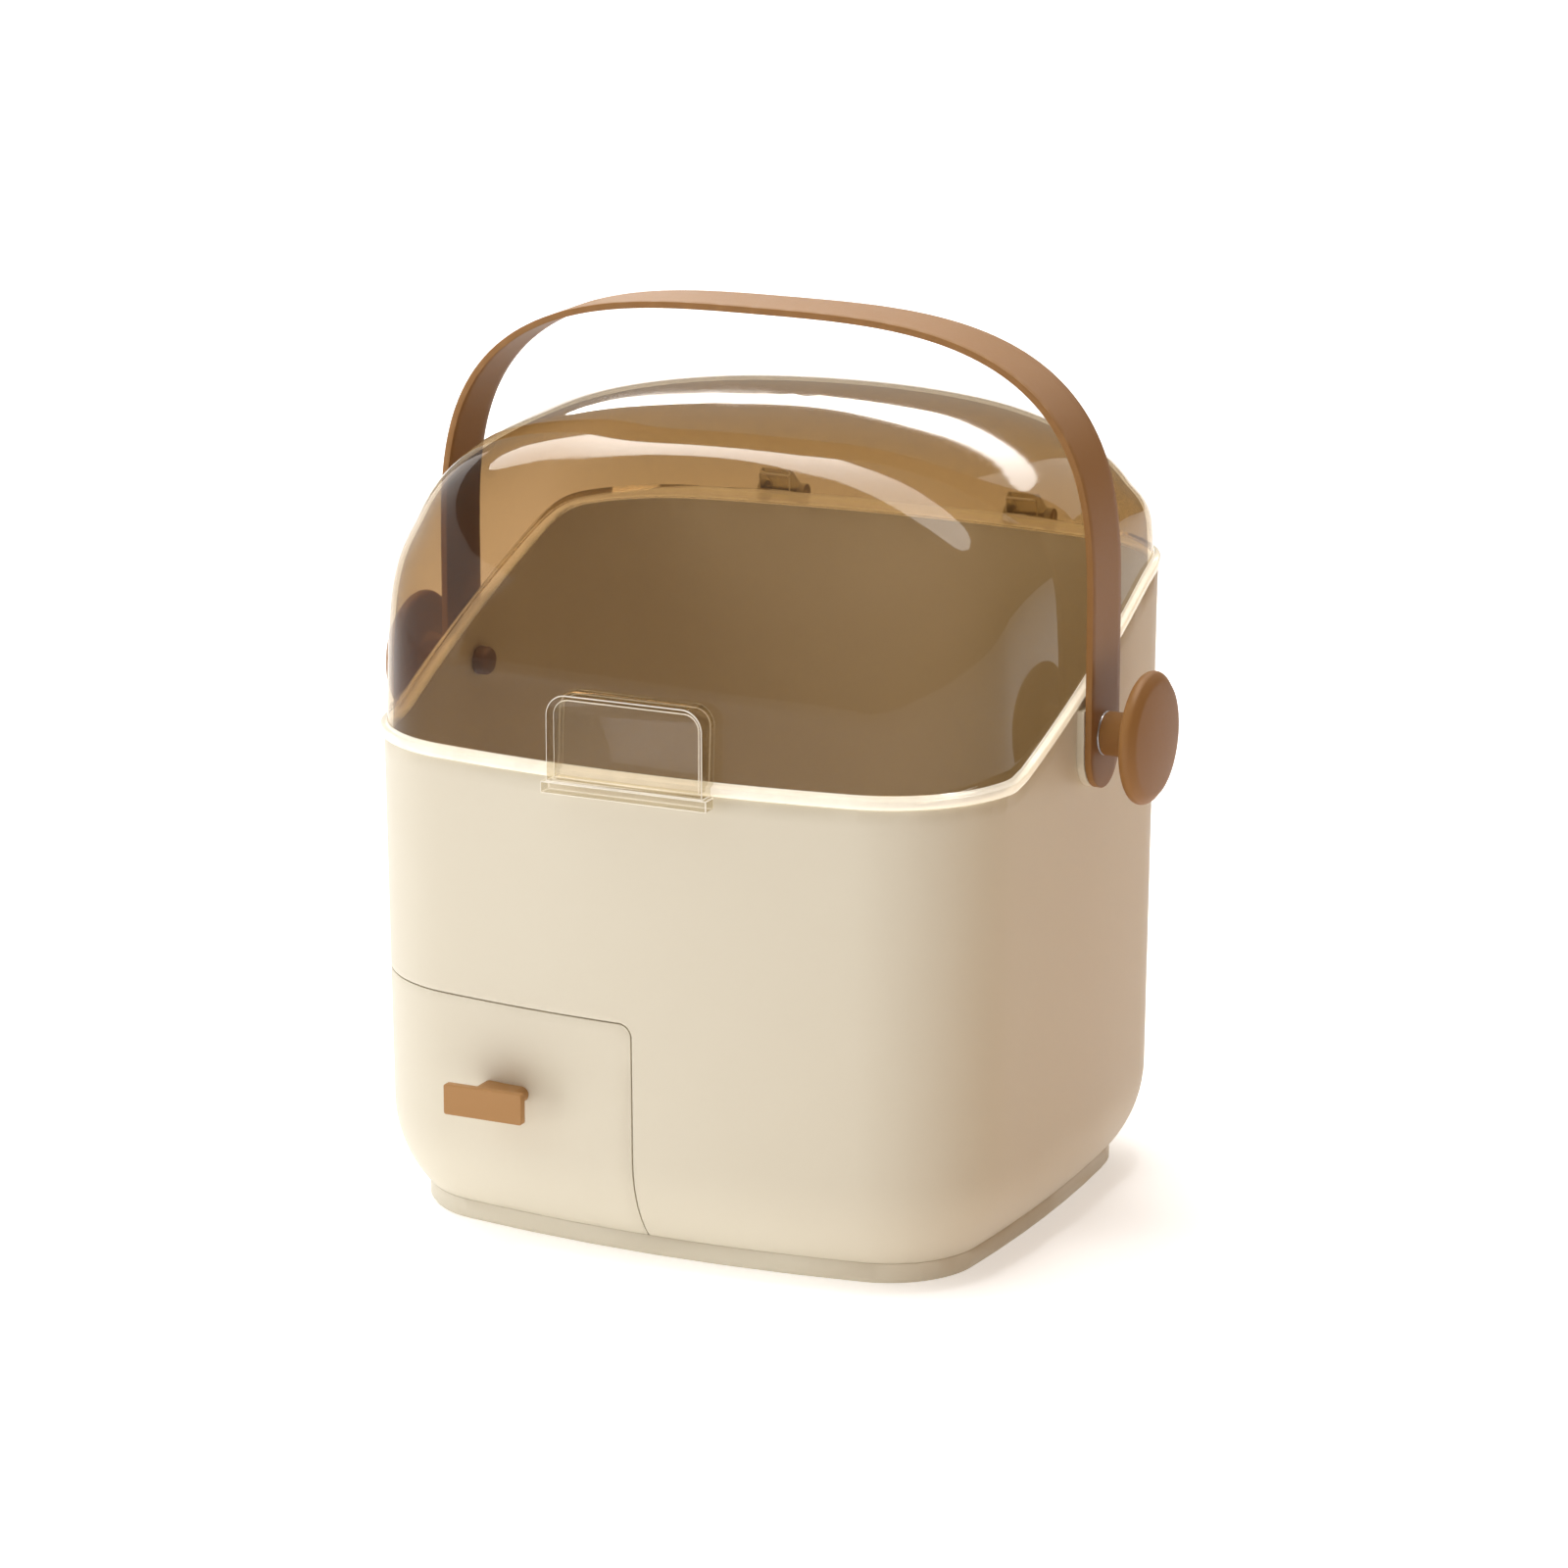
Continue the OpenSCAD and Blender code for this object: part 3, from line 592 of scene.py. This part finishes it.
def dome_ring(s, t, top):
    """One ring of the dome: s grows the plan, t runs from 0 at the rim to 1 at the top."""
    n = 5.1 + np.where(SIN < 0, -1.9, 1.9) * SIN ** 2
    u = math.pi / 2 * t
    up, inward = math.sin(u) ** (2 / n), math.cos(u) ** (2 / n)
    base = ring(s, 0)
    zr = rim_z(base[:, 1]) + lid_gap
    inward = inward * (1 - 0.15 * (top - zr) * up / 1000)
    x, y = base[:, 0] * inward, dome_yc + (base[:, 1] - dome_yc) * inward
    a = np.abs(x) / (body_w * 0.39)
    back = np.maximum(y - dome_yc, 0) / (body_d / 2 - dome_yc)
    crest = top - 6.6 * a ** 2 - back ** 2 * (12.6 + 20.3 * a ** 3.34)
    return np.stack([x, y, zr + np.maximum(crest - zr, 1) * up], 1)


def rim_ring(s, rise):
    base = ring(s, 0)
    base[:, 2] = rim_z(base[:, 1]) + lid_gap + rise
    return base


def softened(row, width):
    """A ring smoothed along itself by a bell curve of the given width in millimetres."""
    if width < 0.5:
        return row
    gap = spacing()
    at = np.r_[0, np.cumsum(gap)[:-1]]
    around = gap.sum()
    away = np.abs(at[:, None] - at[None, :])
    away = np.minimum(away, around - away)
    weight = np.exp(-0.5 * (away / width) ** 2) * ((gap + np.roll(gap, 1)) / 2)
    return (weight / weight.sum(1, keepdims=True)) @ row


def lid_form():
    steps = 44
    ts = [(k ** 2.2) / (k ** 2.2 + (1 - k) ** 2.2) for k in np.linspace(0, 1, steps + 2)[1:-1]]
    widths = {t: 20 * min(max((t - 0.02) / 0.25, 0), 1) ** 1.5 for t in ts}
    inner = [softened(dome_ring(-lid_in - lid_t, t, dome_h - lid_t), widths[t]) for t in reversed(ts)]
    ease_r = 0.7
    corner = [(math.cos(a), math.sin(a)) for a in np.linspace(0, math.pi / 2, 4)]
    flange = [rim_ring(-lid_in - lid_t, 0)]
    flange += [rim_ring(flange_out - ease_r + ease_r * c, ease_r - ease_r * s) for s, c in corner]
    flange += [rim_ring(flange_out - ease_r + ease_r * c, flange_h - ease_r + ease_r * s) for c, s in corner]
    flange += [rim_ring(-lid_in + out, flange_h + up) for out, up in ((0.9, 0.1), (0.3, 0.5), (0, 1.3))]
    outer = [softened(dome_ring(-lid_in, t, dome_h), widths[t]) for t in ts]
    rings = inner + flange + outer
    n = len(PLAN)
    last = (len(rings) - 1) * n
    faces = ring_faces(len(rings), n) + [tuple(range(n - 1, -1, -1)), tuple(range(last, last + n))]
    edge = range(len(inner) * n, (len(inner) + len(flange) - 1) * n)
    return list(np.concatenate(rings)), faces, edge


lid_points, lid_faces, lid_edge = lid_form()
lid = new_piece("lid_dome", lid_points, lid_faces, AMBER, AMBER_EDGE, AMBER_INSIDE)
for i in range(lid_edge.stop):
    lid.data.polygons[i].material_index = 1 if i in lid_edge else 2
lid.data.polygons[len(lid_faces) - 2].material_index = 2
lid.data.shade_smooth()
hand_over(lid, "lid", ["lid_shell"])

# %% [markdown]
# ## Strap handle
# A flat moulded strap: a strip with rounded ends, bent over a squarish arch. The strip is laid out
# flat as rows of points, each row is carried to its place on the arch, and then it gets its
# thickness and its eased edges.

# %% Strap handle
handle_h, strap_w, strap_t, strap_x = 337.0, 26.6, 2.4, 131.0
pivot_y, pivot_z, arch_z, arch_n, strap_drop = 1.0, 188.96, 230.0, 3.15, 20.3


def arch_path():
    """Points and running lengths of the strap's outer face, from the right end to the left."""
    out = strap_x + strap_t
    t = np.linspace(0, math.pi / 2, 4000)
    x = out * np.cos(t).clip(0) ** (2 / arch_n)
    z = arch_z + (handle_h - arch_z) * np.sin(t).clip(0) ** (2 / arch_n)
    half = np.stack([np.r_[out, x], np.r_[pivot_z - strap_drop, z]], 1)
    whole = np.concatenate([half, half[-2::-1] * [-1, 1]])
    run = np.r_[0, np.cumsum(np.hypot(*np.diff(whole, axis=0).T))]
    return whole, run


def strap_form():
    path, run = arch_path()
    r = strap_w / 2
    ends = r * (1 - np.cos(np.linspace(0, math.pi / 2, 14)))
    middle = np.linspace(ends[-1], run[-1] - ends[-1], 150)[1:-1]
    rows = np.r_[ends, middle, run[-1] - ends[::-1]]
    rows[0] += 0.05
    rows[-1] -= 0.05
    across = np.linspace(-1, 1, 9)
    points = []
    for s in rows:
        end = min(s, run[-1] - s)
        half = math.sqrt(max(r * r - (r - end) ** 2, 0)) if end < r else r
        x, z = np.interp(s, run, path[:, 0]), np.interp(s, run, path[:, 1])
        points += [(x, pivot_y + half * k, z) for k in across]
    n = len(across)
    faces = [(j * n + i, j * n + i + 1, (j + 1) * n + i + 1, (j + 1) * n + i)
             for j in range(len(rows) - 1) for i in range(n - 1)]
    return points, faces


strap_points, strap_faces = strap_form()
strap = new_piece("strap_handle", strap_points, strap_faces, BROWN_SHADED)
thicken(strap, strap_t)
ease(strap, 0.7, angle=50, segments=3)
settle(strap, sharp=40)
hand_over(strap, "handle", ["handle_strap"])

# %% [markdown]
# ## Knobs
# Each side has a disc on a short stub, turned from one profile: a softly crowned face, a rounded
# rim, a hollowed back and the stub that the strap hangs on.

# %% Knobs
knob_r, knob_x, knob_t, pivot_r = 24.5, 155.0, 7.5, 3.5
shoulder = strap_x + strap_t + 0.65
knob_back = knob_x - knob_t
edge_r = 2.4
rim = [(knob_r - edge_r + edge_r * math.cos(a), knob_back + 2.6 + edge_r * math.sin(a))
       for a in np.linspace(-1.45, 1.2, 14)]
crown = [(knob_r * k, knob_x - 1.9 * k ** 2.4) for k in np.linspace(0.88, 0, 12)]
knob_profile = [(0, 120.6), (pivot_r - 0.4, 120.6), (pivot_r, 121), (pivot_r, shoulder), (7.7, shoulder),
                (8.1, shoulder + 0.4), (8.3, knob_back - 2.2), (8.9, knob_back - 0.9), (10.4, knob_back),
                (knob_r * 0.7, knob_back)] + rim + crown
for side, sign in (("right", 1), ("left", -1)):
    points, faces = turned(spun(knob_profile), "yzx")
    points = [(sign * x, y + pivot_y, z + pivot_z) for x, y, z in points]
    knob = form_piece("knob_" + side + "_disc", (points, faces), BROWN_SHADED, 0)
    hand_over(knob, "case", ["knob_" + side])

# %% [markdown]
# ## The smaller pieces
# These keep their CAD solids, merged and with eased edges, and get their own finishes.

# %% Smaller pieces
for name, node, body, material, width, slot, *edge in (
        ("plinth", "base_plinth", "case", CREAM, 0.5, "cream_body"),
        ("raised_floor", "inner_shelf", "case", CREAM_INSIDE, 0.4, "cream_inner"),
        ("runner_l", "runner_left", "case", CREAM_INSIDE, 0.3, "cream_inner"),
        ("runner_r", "runner_right", "case", CREAM_INSIDE, 0.3, "cream_inner"),
        ("tray", "drawer_tray", "drawer", CREAM_INSIDE, 0.5, "cream_inner"),
        ("pull", "drawer_pull", "drawer", BROWN_LIT_PULL, 0.5, "brown_handle"),
        ("grip", "lid_grip", "lid", CLEAR_GRIP, 0.6, "clear_grip", BRIGHT_EDGE),
        ("knuckles", "lid_knuckles", "lid", CLEAR_GRIP, 0.45, "amber_clear", BRIGHT_EDGE),
        ("hinge_pin_l", "hinge_pin_left", "case", CREAM, 0.3, "cream_body"),
        ("hinge_pin_r", "hinge_pin_right", "case", CREAM, 0.3, "cream_body"),
        ("spacer_l", "pivot_pad_left", "case", CREAM, 0.5, "cream_body"),
        ("spacer_r", "pivot_pad_right", "case", CREAM, 0.5, "cream_body"),
        ("nut_l", "pivot_nut_left", "case", BROWN_DARK, 0.4, "brown_handle"),
        ("nut_r", "pivot_nut_right", "case", BROWN_DARK, 0.4, "brown_handle"),
        ("washer_l", "washer_left", "case", STEEL, 0.1, "steel"),
        ("washer_r", "washer_right", "case", STEEL, 0.1, "steel")):
    eased_copy(name, node, body, material, width, slot, *edge)

# %% [markdown]
# ## Screws, made once and set on points
# All screws are one Geometry Nodes tool. It makes a pan head with a cross recess, a core and a
# thread that follows a spiral, sets a copy on each point it gets, turns each about its own axis by
# a random angle, and applies the material. Its named inputs give the sizes of each set.


# %% Screw tool
class Tool:
    """A Geometry Nodes group with named inputs, and one method that adds any node."""

    def __init__(self, name, **inputs):
        self.tree = bpy.data.node_groups.new(name, "GeometryNodeTree")
        sockets = self.tree.interface
        sockets.new_socket("Points", in_out="INPUT", socket_type="NodeSocketGeometry")
        for label, kind in inputs.items():
            sockets.new_socket(label.replace("_", " "), in_out="INPUT", socket_type="NodeSocket" + kind)
        sockets.new_socket("Geometry", in_out="OUTPUT", socket_type="NodeSocketGeometry")
        self.start = self.tree.nodes.new("NodeGroupInput")
        self.end = self.tree.nodes.new("NodeGroupOutput")

    def input(self, label):
        return Wire(self.tree, self.start.outputs[label])

    def add(self, kind, out=0, settings=None, **values):
        node = self.tree.nodes.new(kind)
        plug(self.tree, node, settings, values)
        return Wire(self.tree, node.outputs[out])

    def vector(self, x=0.0, y=0.0, z=0.0):
        return self.add("ShaderNodeCombineXYZ", X=x, Y=y, Z=z)

    def moved(self, form, z):
        return self.add("GeometryNodeTransform", Geometry=form, Translation=self.vector(z=z))

    def rod(self, radius, depth, sides=32):
        return self.add("GeometryNodeMeshCylinder", Vertices=sides, Radius=radius, Depth=depth)

    def identifier(self, label):
        return next(s.identifier for s in self.tree.interface.items_tree
                    if s.name == label and s.in_out == "INPUT")


def screw_tool():
    t = Tool("screw_set_tool", Head_Radius="Float", Head_Height="Float", Core_Radius="Float",
             Length="Float", Pitch="Float", Turn="Vector", Seed="Int", Finish="Material")
    radius, height = t.input("Head Radius"), t.input("Head Height")
    core, length = t.input("Core Radius"), t.input("Length")
    head = t.moved(t.rod(radius, height, 40), height * 0.5)
    bars = [t.vector(radius * 1.15, radius * 0.26, height),
            t.vector(radius * 0.26, radius * 1.15, height * 1.04)]
    recess = [t.moved(t.add("GeometryNodeMeshCube", Size=bar), height) for bar in bars]
    head = t.add("GeometryNodeMeshBoolean", settings={"operation": "DIFFERENCE", "solver": "EXACT"},
                 i0=head, i1=recess)
    shank = t.moved(t.rod(core * 0.86, length + 0.0002, 24), length * -0.5 + 0.0001)
    turns = (length * 0.9).math("DIVIDE", t.input("Pitch"))
    spiral = t.add("GeometryNodeCurveSpiral", Resolution=20, Rotations=turns,
                   Start_Radius=core * 0.86, End_Radius=core * 0.86, Height=length * 0.9)
    ridge = t.add("GeometryNodeCurvePrimitiveCircle", Resolution=4, Radius=core * 0.14)
    thread = t.add("GeometryNodeCurveToMesh", Curve=spiral, Profile_Curve=ridge, Fill_Caps=True)
    thread = t.moved(thread, length * -0.95)
    screw = t.add("GeometryNodeJoinGeometry", Geometry=[head, shank, thread])
    spin = t.add("FunctionNodeRandomValue", out=1, settings={"data_type": "FLOAT"},
                 i2=0.0, i3=6.283, Seed=t.input("Seed"))
    sets = t.add("GeometryNodeInstanceOnPoints", Points=t.input("Points"), Instance=screw,
                 Rotation=t.input("Turn"))
    sets = t.add("GeometryNodeRotateInstances", Instances=sets, Rotation=t.vector(z=spin))
    solid = t.add("GeometryNodeRealizeInstances", Geometry=sets)
    done = t.add("GeometryNodeSetMaterial", Geometry=solid, Material=t.input("Finish"))
    t.tree.links.new(done.socket, t.end.inputs[0])
    return t


SCREWS = screw_tool()
print("screw tool", len(SCREWS.tree.nodes), "nodes")


def screw_set(name, spots, turn, head_r, head_h, shank_r, length, body, node):
    piece = new_piece(name, spots, [])
    m = piece.modifiers.new("screws", "NODES")
    m.node_group = SCREWS.tree
    sizes = {"Head Radius": head_r * MM, "Head Height": head_h * MM, "Core Radius": shank_r * MM,
             "Length": length * MM, "Pitch": shank_r * 0.55 * MM}
    for label, value in {**sizes, "Turn": turn, "Seed": 3, "Finish": STEEL}.items():
        m[SCREWS.identifier(label)] = value
    settle(piece, sharp=30)
    return hand_over(piece, body, [node])


# %% [markdown]
# ## Screws in their places
# Four screws hold the plinth from below, four hold the drawer's tray to its front, and two hold the
# pull from inside. Each set gets its own points, turn and sizes.

# %% Screws in their places
quarter = math.pi / 2
screw_set("base_screw_set", [(x, y, 3.0) for x in (-80.1, 80.1) for y in (-65.8, 65.8)], (2 * quarter, 0, 0),
          3.8, 2.2, 1.98, 7.6, "case", "base_screws")
screw_set("tray_screw_set", [(x, -92.5, z) for x in (-68, -18) for z in (34, 74)], (-quarter, 0, 0),
          3.0, 1.6, 1.5, 9.0, "drawer", "tray_screws")
screw_set("pull_screw_set", [(x, -106.92, 59.0) for x in (-61, -49)], (-quarter, 0, 0),
          2.8, 1.6, 1.18, 12.15, "drawer", "pull_screws")

# %% [markdown]
# ## Floor and light
# The photograph has a plain near-white ground and broad soft light from above and the left. Area
# lamps give it and stay out of the gloss. The floor glows a little, so that it shows white. What it
# sends back up to the case's right side is made warm, because that side is warm in the photograph.

# %% Floor and light
floor_mesh = bpy.data.meshes.new("floor")
floor_mesh.from_pydata([(-6, -6, 0), (6, -6, 0), (6, 6, 0), (-6, 6, 0)], [], [(0, 1, 2, 3)])
floor = bpy.data.objects.new("floor", floor_mesh)
bpy.context.collection.objects.link(floor)
paper = Finish("paper_floor")
right, back = (paper.add("SeparateXYZ", out=i, Vector=paper.place()) for i in (0, 1))
right = paper.add("MapRange", Value=right, From_Min=0.05, From_Max=0.25)
back = paper.add("MapRange", Value=back, From_Min=-0.25, From_Max=-0.05)
bounce = paper.add("LightPath", out=2) * right * back
sheet = paper.blend(bounce, (0.97, 0.97, 0.97, 1), (0.72, 0.40, 0.12, 1))
floor_mesh.materials.append(paper.surface(paper.add(
    "BsdfPrincipled", Base_Color=sheet, Roughness=0.9, Emission_Color=(1, 1, 1, 1),
    Emission_Strength=0.42 - bounce * 0.38)))

bpy.context.scene.view_settings.view_transform = "Standard"
world = bpy.data.worlds.new("studio")
bpy.context.scene.world = world
world.use_nodes = True
sky = world.node_tree
direction = Wire(sky, sky.nodes.new("ShaderNodeTexCoord").outputs["Generated"])
split = sky.nodes.new("ShaderNodeSeparateXYZ")
sky.links.new(direction.socket, split.inputs[0])
side = sky.nodes.new("ShaderNodeMix")
side.data_type = "RGBA"
side.inputs[6].default_value = (0.36, 0.345, 0.325, 1)
side.inputs[7].default_value = (0.20, 0.10, 0.02, 1)
sky.links.new((Wire(sky, split.outputs["X"]) * 0.8 + 0.45).socket, side.inputs[0])
sky.links.new(side.outputs[2], sky.nodes["Background"].inputs["Color"])


def lamp(name, place, target, size, power):
    data = bpy.data.lights.new(name, "AREA")
    data.shape = "RECTANGLE"
    data.size, data.size_y = size
    data.energy = power
    o = bpy.data.objects.new(name, data)
    o.location = place
    o.rotation_euler = (Vector(target) - Vector(place)).to_track_quat("-Z", "Y").to_euler()
    bpy.context.collection.objects.link(o)
    o.visible_glossy = False


lamp("overhead", (-1.8, 0.8, 3.0), (-1.8, 0.8, 0), (4.4, 6.0), 138)
lamp("key_left", (-1.5, -2.6, 0.55), (0, 0, 0.12), (1.6, 1.0), 13)
lamp("top", (0.15, -0.1, 2.4), (0, 0, 0.2), (0.5, 0.5), 14)
print("lamps", len(bpy.data.lights))

# %% [markdown]
# ## The outlines of the two long softboxes
# The lid mirrors two white arcs in the photograph. A few points round each arc are read off the
# photo, in its own pixels, and a smooth closed curve is laid through them. A ray goes from
# the camera through each point of the curve, meets the lid and is mirrored there. Where it crosses
# a plane above the case, or one behind it, is the softbox's edge. So the outlines come from the lid
# itself and follow it if its shape is changed.

# %% Arcs and their mirror images
photo_px = 1600
front_arc_px = [(493, 484), (529, 475), (579, 468), (678, 464), (778, 473), (877, 501), (952, 544),
                (983, 569), (994, 559), (984, 539), (922, 494), (828, 463), (728, 448), (628, 444),
                (579, 447), (529, 457), (499, 473)]
rear_arc_px = [(572, 425), (604, 419), (654, 414), (753, 411), (853, 418), (952, 442), (992, 459),
               (1017, 477), (1030, 499), (1052, 504), (1057, 490), (1047, 474), (1027, 455), (992, 435),
               (952, 421), (853, 406), (753, 402), (654, 405), (604, 413)]
focal_px = camera_data.lens / camera_data.sensor_width * photo_px
camera_turn = camera.rotation_euler.to_matrix()
lid_skin = BVHTree.FromPolygons([v.co for v in lid.data.vertices],
                                [tuple(p.vertices) for p in lid.data.polygons])


def closed_curve(points, steps=12):
    """A Catmull-Rom curve through the points and back to the first one."""
    here = np.array(points, float)
    before, after, beyond = (np.roll(here, k, 0) for k in (1, -1, -2))
    bend, twist = 2 * before - 5 * here + 4 * after - beyond, 3 * here - before - 3 * after + beyond
    rows = [here + ((after - before) * t + bend * t ** 2 + twist * t ** 3) / 2
            for t in np.arange(steps) / steps]
    return np.stack(rows, 1).reshape(-1, 2)


def evenly_spaced(curve, count=80):
    """Points at equal steps round a closed curve, so that evening out treats all of it alike."""
    loop = np.vstack([curve, curve[:1]])
    run = np.r_[0, np.cumsum(np.hypot(*np.diff(loop, axis=0).T))]
    at = np.linspace(0, run[-1], count, endpoint=False)
    return np.stack([np.interp(at, run, loop[:, k]) for k in (0, 1)], 1)


def mirrored(px, py, axis, distance):
    """Where the ray through a point of the photo, mirrored by the lid, crosses a plane."""
    ray = (camera_turn @ Vector((px - photo_px / 2, photo_px / 2 - py, -focal_px))).normalized()
    spot, _, face, _ = lid_skin.ray_cast(camera.location, ray)
    corners = [lid.data.vertices[i] for i in lid.data.polygons[face].vertices]
    shares = poly_3d_calc([v.co for v in corners], spot)
    away = ray.reflect(sum((v.normal * k for v, k in zip(corners, shares)), Vector()).normalized())
    return tuple(spot + away * ((distance - spot[axis]) / away[axis]))


def softbox_outline(arc, axis, distance, passes):
    """The mirror image of an arc, evened out, because the lid's facets make it a little uneven."""
    edge = np.array([mirrored(px, py, axis, distance) for px, py in evenly_spaced(closed_curve(arc))])
    for _ in range(passes):
        edge = (np.roll(edge, 1, 0) + 2 * edge + np.roll(edge, -1, 0)) / 4
    return [tuple(p) for p in edge]


above = softbox_outline(front_arc_px, axis=2, distance=1.5, passes=2)
behind = softbox_outline(rear_arc_px, axis=1, distance=2.6, passes=1)
print("softbox outlines", len(above), "and", len(behind), "points")

# %% [markdown]
# ## Softboxes
# Each is a flat glowing sheet that shows only in gloss and lights nothing. A weaker card behind
# gives the strap its sheen, and one on the left gives the lid a soft side light.


# %% Softboxes
def softbox(name, outline, strength):
    glow = Finish(name)
    mesh = bpy.data.meshes.new(name)
    mesh.from_pydata(outline, [], [tuple(range(len(outline)))])
    mesh.materials.append(glow.surface(glow.add("Emission", Color=(1.0, 0.98, 0.95, 1), Strength=strength)))
    box = bpy.data.objects.new(name, mesh)
    bpy.context.collection.objects.link(box)
    box.visible_camera = box.visible_diffuse = box.visible_transmission = box.visible_shadow = False


softbox("softbox_above", above, 9.0)
softbox("softbox_behind", behind, 9.0)
softbox("card_behind", [(x, 2.64, z) for x, z in ((0.1, 0.9), (1.8, 0.9), (1.8, 2.2), (0.1, 2.2))], 1.3)
softbox("softbox_left", [(-2.6, y, z) for y, z in ((-2.6, 0.05), (2.2, 0.05), (2.2, 1.9), (-2.6, 1.9))], 1.7)
